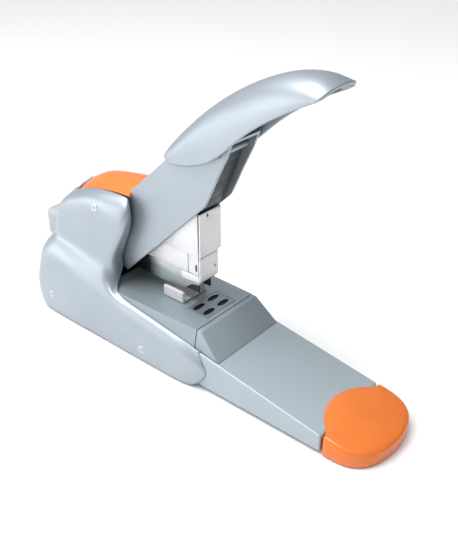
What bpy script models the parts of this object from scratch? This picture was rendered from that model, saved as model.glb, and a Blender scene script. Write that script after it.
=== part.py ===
"""A heavy-duty desk stapler with a raised lever arm, as separate pieces. Metres, +Z up, +X to the nose."""

import math

import bmesh
import bpy
from mathutils import Matrix, Vector

# ---- Clearances and general sizes ----
GAP = 0.0003            # between pieces that touch or fit round each other
RUNNING_GAP = 0.0004    # round a pin that turns in its hole
CUT_MARGIN = 0.004      # how far a cutter runs past the piece it cuts
ROUND_SEGMENTS = 20
FINE_EDGE = 0.0006      # rounding on small pieces
EDGE = 0.0008           # rounding on larger pieces
THROUGH = 0.08          # length of a cutter that passes through the whole stapler across
SCREW_HEAD = 0.0012     # height of every screw's head
SCREW_HOLE = 0.0016     # radius of the hole round a screw's shank
BASE_SCREW_INSET = (0.026, 0.010)   # of the base screws from the bottom plate's ends and sides
BASE_SCREW_REACH = 0.008
MARK_DEPTH = 0.01       # length of a cutter that makes a small hole in one sheet

# ---- Base: the long sloping deck ----
DECK_HALF_WIDTH = 0.032
NOSE_FRONT = 0.1520
DECK_FRONT = NOSE_FRONT - 0.0335
DECK_STEP = -0.066      # the deck's top steps down here, inside the housing
DECK_REAR = -0.128
DECK_FALL = 0.153       # fall of the deck's top per metre forward
DECK_TOP_AT_ZERO = 0.0317
REAR_FLOOR = 0.034      # top of the deck behind the step
DECK_BOTTOM = 0.0022
DECK_WALL = 0.0022
PLATE_THICKNESS = 0.0015
FOOT_RADIUS = 0.0070
FOOT_HEIGHT = 0.0032
NOSE_DOME = 0.0022      # how far the nose cap stands above the deck

# ---- Anvil block on the deck ----
BLOCK_TOP = 0.0415
BLOCK_FRONT = 0.040
BLOCK_SEAM = 0.0200
BLOCK_CREST = 0.0237    # where the sloping front meets the flat top
BLOCK_REAR = -0.058
BLOCK_FOOT_HALF_WIDTH = DECK_HALF_WIDTH - 0.0015
BLOCK_TOP_HALF_WIDTH = DECK_HALF_WIDTH - 0.0042
ANVIL_DEPTH = 0.0020
ANVIL_REAR = -0.0010
ANVIL_FRONT = 0.0165
ANVIL_HALF_WIDTH = 0.0140

# ---- Housing ----
ARM_HALF_WIDTH = 0.0132
ARM_SLOT_HALF_WIDTH = ARM_HALF_WIDTH + 0.0008
CAP_HALF_WIDTH = ARM_SLOT_HALF_WIDTH + 0.0060
HOUSING_HALF_WIDTH = ARM_SLOT_HALF_WIDTH + 0.0135
FAIRING_HALF_WIDTH = DECK_HALF_WIDTH + 0.0060
SHELL_WALL = 0.0025
SHELL_ROUNDING = 0.0045
CAP_THICKNESS = 0.0030

# ---- Lever arm, handle and their hinge ----
ARM_PIVOT = Vector((-0.085, 0.0, 0.075))
ARM_WALL = 0.0020
PIVOT_RADIUS = 0.0040
HANDLE_WALL = 0.0022
HANDLE_SIDE_GAP = 0.0004

# ---- Magazine and head ----
MAGAZINE_PIVOT = Vector((-0.100, 0.0, 0.060))
MAGAZINE_PIN_RADIUS = 0.0025
RAIL_REAR = -0.1190
RAIL_FRONT = 0.0045
RAIL_BOTTOM = 0.050
RAIL_TOP = 0.065
RAIL_HALF_WIDTH = 0.0075
RAIL_WALL = 0.0012
HEAD_WALL = 0.0012
CARRIER_WALL = 0.0012
CARRIER_FRONT = 0.0080
CARRIER_REAR = -0.022
CARRIER_BOTTOM = 0.081
CARRIER_TOP = 0.1120
DRIVER_STROKE = 0.0213
BLADE_HALF_WIDTH = RAIL_HALF_WIDTH - 0.0015

# ---- Link between arm and head ----
LINK_TOP = Vector((0.027, 0.0, 0.157))
LINK_FOOT = Vector((0.0068, 0.0, 0.1152))
LINK_PIN_RADIUS = 0.0018
LINK_THICKNESS = 0.0030
LINK_SPREAD = RAIL_HALF_WIDTH + 0.0020    # outer half-width over both legs
LINK_BAR_RADIUS = 0.0012
LINK_WEB_PLACE = 0.0016  # from the line between the pins forward to the back of the web that joins the legs

# ---- Loader at the rear ----
GRIP_REAR = -0.1520
GRIP_FRONT = -0.1200
GRIP_HALF_WIDTH = 0.0090
GRIP_BOTTOM = 0.0440
GRIP_TOP = 0.0665
ROD_RADIUS = 0.0015
ROD_HEIGHT = 0.0572
PUSHER_REAR = -0.058
PUSHER_FRONT = -0.040
STRIP_FRONT = 0.0024


def deck_top(x):
    """Height of the deck's sloping top."""
    return DECK_TOP_AT_ZERO - DECK_FALL * x


for old in list(bpy.data.objects):
    bpy.data.objects.remove(old)

parts = bpy.data.collections.new("stapler")
cutters = bpy.data.collections.new("cutters")
for group in (parts, cutters):
    bpy.context.scene.collection.children.link(group)


# ---- Materials ----
def material(name, colour, roughness, metallic):
    """A plain finish: colour, roughness and how metallic it is."""
    finish = bpy.data.materials.new(name)
    finish.use_nodes = True
    shader = finish.node_tree.nodes["Principled BSDF"]
    shader.inputs["Base Color"].default_value = (*colour, 1)
    shader.inputs["Roughness"].default_value = roughness
    shader.inputs["Metallic"].default_value = metallic
    return finish


SILVER = ("silver_shell", (0.46, 0.53, 0.58), 0.38, 0.35)
DECK_GREY = ("silver_deck", (0.44, 0.52, 0.57), 0.42, 0.30)
ORANGE = ("orange_plastic", (0.85, 0.25, 0.04), 0.35, 0.0)
NICKEL = ("nickel_plate", (0.83, 0.82, 0.80), 0.22, 1.0)
STEEL = ("zinc_steel", (0.55, 0.58, 0.58), 0.35, 1.0)
DARK = ("dark_link", (0.07, 0.075, 0.085), 0.45, 0.5)
PALE = ("pale_plastic", (0.62, 0.62, 0.62), 0.45, 0.0)
RUBBER = ("black_rubber", (0.03, 0.03, 0.03), 0.85, 0.0)
SPRING = ("spring_steel", (0.45, 0.45, 0.46), 0.30, 1.0)


def paint(piece, look):
    """Gives a piece a material of its own."""
    name, colour, roughness, metallic = look
    piece.data.materials.clear()
    piece.data.materials.append(material(piece.name + "_" + name, colour, roughness, metallic))
    return piece


# ---- Making shapes ----
def to_group(piece, group):
    """Moves a new object into its collection."""
    for holder in list(piece.users_collection):
        holder.objects.unlink(piece)
    group.objects.link(piece)
    return piece


def as_cutter(piece):
    """A guide shape: drawn as wire and not rendered."""
    piece.hide_render = True
    piece.display_type = "WIRE"
    return to_group(piece, cutters)


def block(name, low, high):
    """A box from its lowest to its highest corner."""
    bpy.ops.mesh.primitive_cube_add(size=1)
    piece = bpy.context.object
    piece.name = name
    size = Vector(high) - Vector(low)
    centre = (Vector(high) + Vector(low)) / 2
    piece.data.transform(Matrix.Diagonal((*size, 1)))
    piece.location = centre
    return to_group(piece, parts)


AXIS_TURN = {"X": (0, math.pi / 2, 0), "Y": (math.pi / 2, 0, 0), "Z": (0, 0, 0)}


def cylinder(name, centre, radius, length, axis, segments=ROUND_SEGMENTS):
    """A round bar along X, Y or Z, shaded smooth round its side."""
    bpy.ops.mesh.primitive_cylinder_add(vertices=segments, radius=radius, depth=length)
    piece = bpy.context.object
    piece.name = name
    piece.location = centre
    piece.rotation_euler = AXIS_TURN[axis]
    piece.data.shade_smooth()
    piece.data.set_sharp_from_angle(angle=math.radians(40))
    return to_group(piece, parts)


def outline_curve(name, points, thickness, corners, rounding=0.0):
    """A closed 2D curve. Without corners every point is a corner; with them the rest are smooth."""
    curve = bpy.data.curves.new(name, "CURVE")
    curve.dimensions = "2D"
    curve.fill_mode = "BOTH"
    curve.extrude = thickness / 2 - rounding
    curve.bevel_depth = rounding
    curve.bevel_resolution = 2
    curve.offset = -rounding
    curve.resolution_u = 3
    if corners is None:
        spline = curve.splines.new("POLY")
        spline.points.add(len(points) - 1)
        for point, (u, v) in zip(spline.points, points):
            point.co = (u, v, 0, 1)
    else:
        spline = curve.splines.new("BEZIER")
        spline.bezier_points.add(len(points) - 1)
        for index, (point, (u, v)) in enumerate(zip(spline.bezier_points, points)):
            point.co = (u, v, 0)
            kind = "VECTOR" if index in corners else "AUTO"
            point.handle_left_type = kind
            point.handle_right_type = kind
    spline.use_cyclic_u = True
    return curve


def from_curve(name, curve, location, turn, group=parts):
    """A solid mesh object from a curve, its caps welded on."""
    shape = bpy.data.objects.new(name + "_line", curve)
    group.objects.link(shape)
    shape.location = location
    shape.rotation_euler = turn
    bpy.context.view_layer.update()
    drawn = shape.evaluated_get(bpy.context.evaluated_depsgraph_get())
    mesh = bpy.data.meshes.new_from_object(drawn)
    body = bmesh.new()
    body.from_mesh(mesh)
    bmesh.ops.remove_doubles(body, verts=body.verts, dist=0.00001)
    bmesh.ops.recalc_face_normals(body, faces=body.faces)
    body.to_mesh(mesh)
    body.free()
    piece = bpy.data.objects.new(name, mesh)
    piece.matrix_world = shape.matrix_world.copy()
    group.objects.link(piece)
    bpy.data.objects.remove(shape)
    return piece


def side_plate(name, outline, y_low, y_high, corners=None, rounding=0.0):
    """A flat outline seen from the side, as (x, z) points, from y_low to y_high."""
    curve = outline_curve(name, outline, y_high - y_low, corners, rounding)
    return from_curve(name, curve, (0, (y_low + y_high) / 2, 0), (math.pi / 2, 0, 0))


def plan_plate(name, outline, z_low, z_high, corners=None):
    """A flat outline seen from above, as (x, y) points, from z_low to z_high."""
    curve = outline_curve(name, outline, z_high - z_low, corners)
    return from_curve(name, curve, (0, 0, (z_low + z_high) / 2), (0, 0, 0))


def shaped_block(name, corner):
    """A six-sided block: corner(x_side, y_side, z_side) gives each corner from its signs."""
    body = bmesh.new()
    bmesh.ops.create_cube(body, size=2)
    for vertex in body.verts:
        vertex.co = corner(*(round(c) for c in vertex.co))
    mesh = bpy.data.meshes.new(name)
    body.to_mesh(mesh)
    body.free()
    piece = bpy.data.objects.new(name, mesh)
    parts.objects.link(piece)
    return piece


def round_edges(piece, width, segments=2, angle=40):
    """Rounds the sharp edges of a piece."""
    bevel = piece.modifiers.new("rounded", "BEVEL")
    bevel.width = width
    bevel.segments = segments
    bevel.limit_method = "ANGLE"
    bevel.angle_limit = math.radians(angle)
    bevel.use_clamp_overlap = True
    return piece


def combine(piece, other, operation):
    """A Boolean of one piece with another, which becomes a guide shape."""
    as_cutter(other)
    boolean = piece.modifiers.new(operation.lower() + "_" + other.name, "BOOLEAN")
    boolean.operation = operation
    boolean.object = other
    boolean.solver = "EXACT"
    return piece


def cut(piece, *others):
    """Cuts the other shapes out of a piece."""
    for other in others:
        combine(piece, other, "DIFFERENCE")
    return piece


def inset(outline, distance):
    """The outline moved inwards by a distance; its points run anticlockwise."""
    moved = []
    count = len(outline)
    for index, (u, v) in enumerate(outline):
        before = outline[index - 1]
        after = outline[(index + 1) % count]
        one = Vector((u - before[0], v - before[1])).normalized()
        two = Vector((after[0] - u, after[1] - v)).normalized()
        inward = Vector((-one.y - two.y, one.x + two.x)).normalized()
        reach = distance / max(0.5, inward.dot(Vector((-one.y, one.x))))
        moved.append((u + inward.x * reach, v + inward.y * reach))
    return moved


def arc(centre, radius, start, end, steps):
    """Points on an arc, with angles in degrees, anticlockwise when end is the larger."""
    turns = [math.radians(start + (end - start) * step / steps) for step in range(steps + 1)]
    return [(centre[0] + radius * math.cos(t), centre[1] + radius * math.sin(t)) for t in turns]


def coil(name, centre, axis, radius, wire, length, turns):
    """A wire wound round the X or Y axis."""
    steps = 10
    curve = bpy.data.curves.new(name, "CURVE")
    curve.dimensions = "3D"
    curve.bevel_depth = wire
    curve.bevel_resolution = 1
    curve.use_fill_caps = True
    spline = curve.splines.new("POLY")
    count = turns * steps + 1
    spline.points.add(count - 1)
    for index, point in enumerate(spline.points):
        angle = 2 * math.pi * index / steps
        along = length * (index / (count - 1) - 0.5)
        across, up = radius * math.cos(angle), radius * math.sin(angle)
        point.co = (along, across, up, 1) if axis == "X" else (across, along, up, 1)
    return from_curve(name, curve, centre, (0, 0, 0))


def screw(name, head, axis, reach, radius=0.0028):
    """A recessed-head screw: its head's outer face is centred at head, and it runs along axis."""
    direction = Vector(axis)
    letter = "XYZ"[max(range(3), key=lambda i: abs(direction[i]))]
    middle = Vector(head) + direction * SCREW_HEAD / 2
    piece = cylinder(name, middle, radius, SCREW_HEAD, letter, 16)
    shank_middle = Vector(head) + direction * (SCREW_HEAD / 2 + reach / 2)
    shank = cylinder(name + "_shank", shank_middle, radius * 0.45, reach, letter, 10)
    combine(piece, shank, "UNION")
    across = [Vector((1, 0, 0)), Vector((0, 1, 0)), Vector((0, 0, 1))]
    across = [a for a in across if abs(a.dot(direction)) < 0.5]
    slot_size = [Vector([0.0004 if abs(c) < 0.5 else radius * 0.6 for c in a]) for a in across]
    for turn, size in enumerate(slot_size):
        for i in range(3):
            if abs(direction[i]) > 0.5:
                size[i] = 0.0007
        slot = block(f"{name}_slot_{turn}", Vector(head) - size, Vector(head) + size)
        cut(piece, slot)
    return piece


# ---- Base ----
DECK_OUTLINE = [
    (DECK_REAR, DECK_BOTTOM), (DECK_FRONT, DECK_BOTTOM), (DECK_FRONT, deck_top(DECK_FRONT)),
    (DECK_STEP, deck_top(DECK_STEP)), (DECK_STEP, REAR_FLOOR), (DECK_REAR, REAR_FLOOR),
]


def make_base_shell():
    shell = side_plate("base_shell", DECK_OUTLINE, -DECK_HALF_WIDTH, DECK_HALF_WIDTH)
    round_edges(shell, 0.0012)
    hollow = inset(DECK_OUTLINE, DECK_WALL)
    hollow[0] = (hollow[0][0], DECK_BOTTOM - CUT_MARGIN)
    hollow[1] = (hollow[1][0], DECK_BOTTOM - CUT_MARGIN)
    inner = DECK_HALF_WIDTH - DECK_WALL
    cut(shell, side_plate("base_hollow", hollow, -inner, inner))
    return paint(shell, DECK_GREY)


PLATE_BOTTOM = FOOT_HEIGHT + GAP
PLATE_SIDE = DECK_HALF_WIDTH - DECK_WALL - GAP
PLATE_REAR = DECK_REAR + DECK_WALL + GAP
PLATE_FRONT = DECK_FRONT - DECK_WALL - GAP


def make_base_plate():
    plate = block("base_plate", (PLATE_REAR, -PLATE_SIDE, PLATE_BOTTOM),
                  (PLATE_FRONT, PLATE_SIDE, PLATE_BOTTOM + PLATE_THICKNESS))
    for name, x, y in corner_places("plate_hole", *BASE_SCREW_INSET):
        hole = cylinder(name, (x, y, PLATE_BOTTOM), SCREW_HOLE, MARK_DEPTH, "Z", 12)
        cut(plate, hole)
    return paint(plate, STEEL)


def corner_places(stem, inboard, side_in):
    """Four places near the plate's corners: (name, x, y)."""
    places = []
    for end, x in (("front", PLATE_FRONT - inboard), ("rear", PLATE_REAR + inboard)):
        for side, sign in (("left", -1), ("right", 1)):
            places.append((f"{stem}_{end}_{side}", x, sign * (PLATE_SIDE - side_in)))
    return places


def make_feet():
    for name, x, y in corner_places("foot", 0.014, FOOT_RADIUS + 0.001):
        foot = cylinder(name, (x, y, FOOT_HEIGHT / 2), FOOT_RADIUS, FOOT_HEIGHT, "Z")
        paint(round_edges(foot, FINE_EDGE, 1), RUBBER)


def make_base_screws():
    for name, x, y in corner_places("base_screw", *BASE_SCREW_INSET):
        head = (x, y, PLATE_BOTTOM - GAP - SCREW_HEAD)
        paint(screw(name, head, (0, 0, 1), BASE_SCREW_REACH), STEEL)


def make_nose_cap():
    side = DECK_HALF_WIDTH
    rear = DECK_FRONT + GAP
    half = [
        (NOSE_FRONT - 0.0455, 0.0), (NOSE_FRONT - 0.0435, -0.375 * side),
        (NOSE_FRONT - 0.0365, -0.67 * side), (NOSE_FRONT - 0.0312, -0.84 * side),
        (rear, -side), (NOSE_FRONT - 0.0190, -0.99 * side), (NOSE_FRONT - 0.0070, -0.80 * side),
        (NOSE_FRONT - 0.0015, -0.42 * side), (NOSE_FRONT, 0.0),
    ]
    outline = half + [(x, -y) for x, y in reversed(half[1:-1])]
    cap = plan_plate("nose_cap", outline, 0.0008, 0.030, corners={4, 12})
    far = NOSE_FRONT + CUT_MARGIN
    near = DECK_FRONT - 0.03
    above = [(near, deck_top(near) + NOSE_DOME), (far, deck_top(far) + NOSE_DOME), (far, 0.05), (near, 0.05)]
    wide = side + CUT_MARGIN
    cut(cap, side_plate("nose_top_trim", above, -wide, wide))
    seat_front = DECK_FRONT + GAP
    seat = [(near, -CUT_MARGIN), (seat_front, -CUT_MARGIN),
            (seat_front, deck_top(seat_front) + GAP), (near, deck_top(near) + GAP)]
    cut(cap, side_plate("nose_seat", seat, -wide, wide))
    lip = 0.0030
    back, front = DECK_FRONT + lip, NOSE_FRONT - 0.012
    hollow = [(back, -CUT_MARGIN), (front, -CUT_MARGIN), (front, deck_top(front) - lip + NOSE_DOME),
              (back, deck_top(back) - lip + NOSE_DOME)]
    cut(cap, side_plate("nose_hollow", hollow, -0.75 * side, 0.75 * side))
    return paint(round_edges(cap, EDGE, 2, 50), ORANGE)


# ---- Anvil ----
def block_height(x, top):
    return BLOCK_TOP if top else deck_top(x) + GAP


def make_anvil_block():
    def corner(x_side, y_side, z_side):
        x = BLOCK_SEAM - GAP if x_side > 0 else BLOCK_REAR
        narrow = BLOCK_TOP_HALF_WIDTH if x_side > 0 else BLOCK_FOOT_HALF_WIDTH - 0.0005
        half = narrow if z_side > 0 else BLOCK_FOOT_HALF_WIDTH
        return (x, y_side * half, block_height(x, z_side > 0))
    body = shaped_block("anvil_block", corner)
    pocket_depth = ANVIL_DEPTH + GAP
    pocket = block("anvil_pocket",
                   (ANVIL_REAR - GAP, -ANVIL_HALF_WIDTH - GAP, BLOCK_TOP - pocket_depth),
                   (ANVIL_FRONT + GAP, ANVIL_HALF_WIDTH + GAP, BLOCK_TOP + CUT_MARGIN))
    cut(body, pocket)
    return paint(body, DECK_GREY)


def make_anvil_front_cover():
    def corner(x_side, y_side, z_side):
        if x_side < 0:
            x = BLOCK_SEAM
        else:
            x = BLOCK_CREST if z_side > 0 else BLOCK_FRONT
        half = BLOCK_TOP_HALF_WIDTH if z_side > 0 else BLOCK_FOOT_HALF_WIDTH
        return (x, y_side * half, block_height(x, z_side > 0))
    cover = shaped_block("anvil_front_cover", corner)
    return paint(round_edges(cover, FINE_EDGE, 1), DECK_GREY)


def make_anvil_plate():
    plate = block("anvil_plate", (ANVIL_REAR, -ANVIL_HALF_WIDTH, BLOCK_TOP - ANVIL_DEPTH),
                  (ANVIL_FRONT, ANVIL_HALF_WIDTH, BLOCK_TOP))
    for row, x in (("inner", ANVIL_REAR + 0.0038), ("outer", ANVIL_FRONT - 0.0035)):
        for side, sign in (("left", -1), ("right", 1)):
            middle = sign * 0.49 * ANVIL_HALF_WIDTH
            half = 0.38 * ANVIL_HALF_WIDTH
            groove = block(f"groove_{row}_{side}", (x - 0.0011, middle - half, BLOCK_TOP - 0.0009),
                           (x + 0.0011, middle + half, BLOCK_TOP + CUT_MARGIN))
            cut(plate, groove)
    return paint(plate, STEEL)


GUIDE_INNER = RAIL_HALF_WIDTH + 0.0023


def make_magazine_guide():
    outer = GUIDE_INNER + 0.0020
    rear, front = -0.025, -0.007
    foot = BLOCK_TOP + GAP
    guide = block("magazine_guide", (rear, -outer, foot), (front, outer, RAIL_BOTTOM))
    round_edges(guide, FINE_EDGE, 1)
    channel = block("guide_channel", (rear - CUT_MARGIN, -GUIDE_INNER, foot + 0.0010),
                    (front + CUT_MARGIN, GUIDE_INNER, RAIL_BOTTOM + CUT_MARGIN))
    return paint(cut(guide, channel), PALE)


# ---- Housing ----
UPPER_OUTLINE = [
    (-0.117, 0.045), (-0.050, 0.045), (-0.043, 0.058), (-0.047, 0.066), (-0.0445, 0.078),
    (-0.0385, 0.092), (-0.0362, 0.104), (-0.0380, 0.1125), (-0.0440, 0.1150), (-0.0580, 0.1140),
    (-0.0720, 0.1125), (-0.0860, 0.1085), (-0.1000, 0.0960), (-0.1100, 0.0780), (-0.1165, 0.0620),
]
FAIRING_OUTLINE = [
    (-0.1420, 0.0014), (0.0200, 0.0014), (0.0290, 0.0050), (0.0310, 0.0130), (0.0270, 0.0225),
    (0.0150, 0.0290), (-0.0200, 0.0350), (-0.0430, 0.0405), (-0.0560, 0.0500), (-0.0700, 0.0600),
    (-0.1130, 0.0640), (-0.1270, 0.0520), (-0.1370, 0.0310), (-0.1430, 0.0110),
]
CAP_CROWN = [
    (-0.0510, 0.1180), (-0.0680, 0.1165), (-0.0830, 0.1135), (-0.0960, 0.1075),
    (-0.1045, 0.0995), (-0.1090, 0.0930),
]


def strip_outline(crown, thickness):
    """A curved strip under a crown line that runs from front to rear."""
    under = []
    for index, (x, z) in enumerate(crown):
        before = crown[max(index - 1, 0)]
        after = crown[min(index + 1, len(crown) - 1)]
        along = Vector((after[0] - before[0], after[1] - before[1])).normalized()
        under.append((x - along.y * thickness, z + along.x * thickness))
    return crown + list(reversed(under))


def make_housing_cap():
    strip = strip_outline(CAP_CROWN, CAP_THICKNESS)
    cap = side_plate("housing_cap", strip, -CAP_HALF_WIDTH, CAP_HALF_WIDTH)
    return paint(round_edges(cap, EDGE, 2, 60), ORANGE)


def cap_space():
    """The room that the cap takes out of both halves, open above."""
    under = strip_outline(CAP_CROWN, CAP_THICKNESS + GAP)[len(CAP_CROWN):]
    rear = under[0]
    front = under[-1]
    clear = 0.020
    outline = [(rear[0] - clear, rear[1] - GAP - 0.001), (rear[0] + GAP, rear[1] - GAP - 0.001)]
    outline += under[1:]
    outline += [(front[0] + clear, front[1]), (front[0] + clear, front[1] + clear),
                (rear[0] - clear, front[1] + clear)]
    half = CAP_HALF_WIDTH + GAP
    return side_plate("cap_space", outline, -half, half)


HOUSING_SCREWS = {
    "upper": (-0.071, 0.098, HOUSING_HALF_WIDTH),
    "rear": (-0.118, 0.022, FAIRING_HALF_WIDTH),
    "front": (-0.030, 0.014, FAIRING_HALF_WIDTH),
}


def make_housing(name, sign):
    half = HOUSING_HALF_WIDTH
    shell = side_plate(name, UPPER_OUTLINE, -half, half, {0, 1, 2}, SHELL_ROUNDING)
    wide = FAIRING_HALF_WIDTH
    fairing = side_plate(name + "_fairing", FAIRING_OUTLINE, -wide, wide, {0, 1}, SHELL_ROUNDING)
    combine(shell, fairing, "UNION")

    inner = half - SHELL_WALL
    hollow = inset(UPPER_OUTLINE, SHELL_WALL)
    upper_room = side_plate(name + "_upper_room", hollow, -inner, inner, corners={0, 1, 2})
    room = inset(FAIRING_OUTLINE, SHELL_WALL)
    room[0] = (room[0][0], -CUT_MARGIN)
    room[1] = (room[1][0], -CUT_MARGIN)
    inner_wide = wide - SHELL_WALL
    lower_room = side_plate(name + "_lower_room", room, -inner_wide, inner_wide, corners={0, 1})

    deck_side = DECK_HALF_WIDTH + GAP
    clear_top = 0.0600
    beside_deck = [(-0.056, -CUT_MARGIN), (0.050, -CUT_MARGIN), (0.050, clear_top),
                   (-0.0425, clear_top), (-0.056, deck_top(-0.056))]
    deck_room = side_plate(name + "_deck_room", beside_deck, -deck_side, deck_side)
    slot = ARM_SLOT_HALF_WIDTH
    arm_room = block(name + "_arm_room", (-0.060, -slot, 0.030), (0.0, slot, 0.140))
    notch = block(name + "_grip_notch", (GRIP_REAR, -GRIP_HALF_WIDTH - 0.0015, GRIP_BOTTOM - 0.003),
                  (GRIP_FRONT + 0.03, GRIP_HALF_WIDTH + 0.0015, GRIP_TOP + 0.0075))
    far = 0.20
    split = GAP / 2
    low, high = (-split, far) if sign < 0 else (-far, split)
    other_half = block(name + "_other_half", (-far, low, -far), (far, high, far))
    cut(shell, upper_room, lower_room, deck_room, arm_room, cap_space(), notch, other_half)

    for place, (x, z, side) in HOUSING_SCREWS.items():
        well_y = (side - 0.0015, side + CUT_MARGIN)
        middle = sign * sum(well_y) / 2
        well = cylinder(f"{name}_well_{place}", (x, middle, z), 0.0034, well_y[1] - well_y[0], "Y", 16)
        hole = cylinder(f"{name}_hole_{place}", (x, sign * side, z), SCREW_HOLE, 0.012, "Y", 10)
        cut(shell, well, hole)
    return paint(shell, SILVER)


def make_housing_screws():
    for side, sign in (("left", -1), ("right", 1)):
        for place, (x, z, half) in HOUSING_SCREWS.items():
            head = (x, sign * (half - 0.0015 + SCREW_HEAD + GAP / 2), z)
            piece = screw(f"housing_screw_{place}_{side}", head, (0, -sign, 0), 0.0042, 0.0030)
            paint(piece, STEEL)


# ---- Hinge frame inside the housing ----
BRACKET_INNER = ARM_HALF_WIDTH + 0.0015
BRACKET_WALL = 0.0025
BRACKET_OUTER = BRACKET_INNER + BRACKET_WALL


def make_hinge_bracket():
    floor = REAR_FLOOR + GAP
    boss = arc((ARM_PIVOT.x, ARM_PIVOT.z), 0.0090, 0, 180, 8)
    outline = [(-0.118, floor), (-0.070, floor)] + boss
    bracket = side_plate("hinge_bracket", outline, -BRACKET_OUTER, BRACKET_OUTER)
    inside = block("bracket_room", (-0.15, -BRACKET_INNER, floor + 0.0020), (-0.04, BRACKET_INNER, 0.12))
    pivot = cylinder("bracket_pivot_hole", ARM_PIVOT, PIVOT_RADIUS + RUNNING_GAP, THROUGH, "Y")
    magazine = cylinder("bracket_magazine_hole", MAGAZINE_PIVOT,
                        MAGAZINE_PIN_RADIUS + RUNNING_GAP, THROUGH, "Y", 16)
    return paint(cut(bracket, inside, pivot, magazine), STEEL)


def make_pivot():
    reach = BRACKET_OUTER + 0.0015
    paint(cylinder("pivot_pin", ARM_PIVOT, PIVOT_RADIUS, 2 * reach, "Y"), NICKEL)
    for side, sign in (("left", -1), ("right", 1)):
        middle = ARM_PIVOT + Vector((0, sign * (BRACKET_OUTER + GAP + 0.0004), 0))
        clip = cylinder("pivot_clip_" + side, middle, PIVOT_RADIUS + 0.0025, 0.0008, "Y")
        bore = cylinder("clip_bore_" + side, middle, PIVOT_RADIUS + GAP, 0.004, "Y")
        paint(cut(clip, bore), SPRING)


def make_magazine_pins():
    start = RAIL_HALF_WIDTH - RAIL_WALL - 0.0003
    end = BRACKET_OUTER + 0.0008
    for side, sign in (("left", -1), ("right", 1)):
        middle = MAGAZINE_PIVOT + Vector((0, sign * (start + end) / 2, 0))
        paint(cylinder("magazine_pin_" + side, middle, MAGAZINE_PIN_RADIUS, end - start, "Y", 16), NICKEL)


def make_return_spring():
    length = 2 * (ARM_HALF_WIDTH - ARM_WALL - 0.0020)
    spring = coil("return_spring", ARM_PIVOT, "Y", PIVOT_RADIUS + 0.0022, 0.0008, length, 6)
    return paint(spring, SPRING)


# ---- Lever arm ----
ARM_LOWER_TIP = (-0.0585, 0.0490)
ARM_FRONT_LOWER = (0.0146, 0.1198)
ARM_FRONT_EDGE = [(0.0182, 0.1269), (0.0248, 0.1412), (0.0319, 0.1554)]
ARM_TOP_LINE = [(0.0360, 0.1661), (0.0258, 0.1676), (0.0136, 0.1635), (-0.0006, 0.1544),
                (-0.0159, 0.1427), (-0.0347, 0.1254), (-0.0657, 0.0970)]


def make_arm():
    boss = arc((ARM_PIVOT.x, ARM_PIVOT.z), 0.0130, 120, 270, 8)
    outline = [ARM_LOWER_TIP, ARM_FRONT_LOWER] + ARM_FRONT_EDGE + ARM_TOP_LINE + boss
    arm = side_plate("arm", outline, -ARM_HALF_WIDTH, ARM_HALF_WIDTH)
    round_edges(arm, EDGE, 3, 35)
    web = ARM_WALL
    ceiling = strip_outline(ARM_TOP_LINE, web)[len(ARM_TOP_LINE):]
    rear_end = ceiling[0]
    front_end = ceiling[-1]
    room = [(-0.130, 0.020), (0.090, 0.020), (0.090, front_end[1])] + list(reversed(ceiling))
    room += [(rear_end[0] - 0.012, rear_end[1] + 0.010), (-0.130, rear_end[1] + 0.010)]
    inner = ARM_HALF_WIDTH - ARM_WALL
    hollow = side_plate("arm_room", room, -inner, inner)
    pivot = cylinder("arm_pivot_hole", ARM_PIVOT, PIVOT_RADIUS + RUNNING_GAP, THROUGH, "Y")
    pin = cylinder("arm_link_hole", LINK_TOP, LINK_PIN_RADIUS + GAP, THROUGH, "Y", 14)
    return paint(cut(arm, hollow, pivot, pin), SILVER)


HANDLE_STATIONS = [
    # crown (x, z), lower edge (x, z), how much wider than the arm end, roundness of the top
    ((-0.0165, 0.1460), (-0.0189, 0.1396), 0.0, 0.10),
    ((-0.0050, 0.1620), (-0.0086, 0.1408), 0.0002, 0.15),
    ((0.0100, 0.1765), (0.0040, 0.1410), 0.0006, 0.20),
    ((0.0250, 0.1880), (0.0183, 0.1466), 0.0011, 0.25),
    ((0.0400, 0.1975), (0.0318, 0.1560), 0.0017, 0.35),
    ((0.0550, 0.2050), (0.0437, 0.1696), 0.0024, 0.45),
    ((0.0700, 0.2100), (0.0589, 0.1803), 0.0028, 0.60),
    ((0.0840, 0.2115), (0.0737, 0.1903), 0.0026, 0.75),
    ((0.0970, 0.2080), (0.0901, 0.1996), 0.0017, 0.90),
]
HANDLE_HALF_WIDTH = ARM_HALF_WIDTH + HANDLE_SIDE_GAP + HANDLE_WALL
SQUARENESS = 218        # of a section's corners, per metre of half-width, so they clear the arm at any width
SOFTENING = 112         # taken off it where a section is fully round


def handle_section(crown, foot, half, roundness):
    """One arched section from the near lower edge over the crown to the far lower edge."""
    points = []
    steps = 12
    power = HANDLE_HALF_WIDTH * (SQUARENESS - SOFTENING * roundness)
    for step in range(steps + 1):
        angle = math.pi * step / steps
        across = -math.cos(angle)
        side = math.copysign(abs(across) ** (2 / power), across)
        rise = math.sin(angle) ** (2 / power)
        x = foot[0] + (crown[0] - foot[0]) * rise
        z = foot[1] + (crown[1] - foot[1]) * rise
        points.append((x, half * side, z))
    return points


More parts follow.
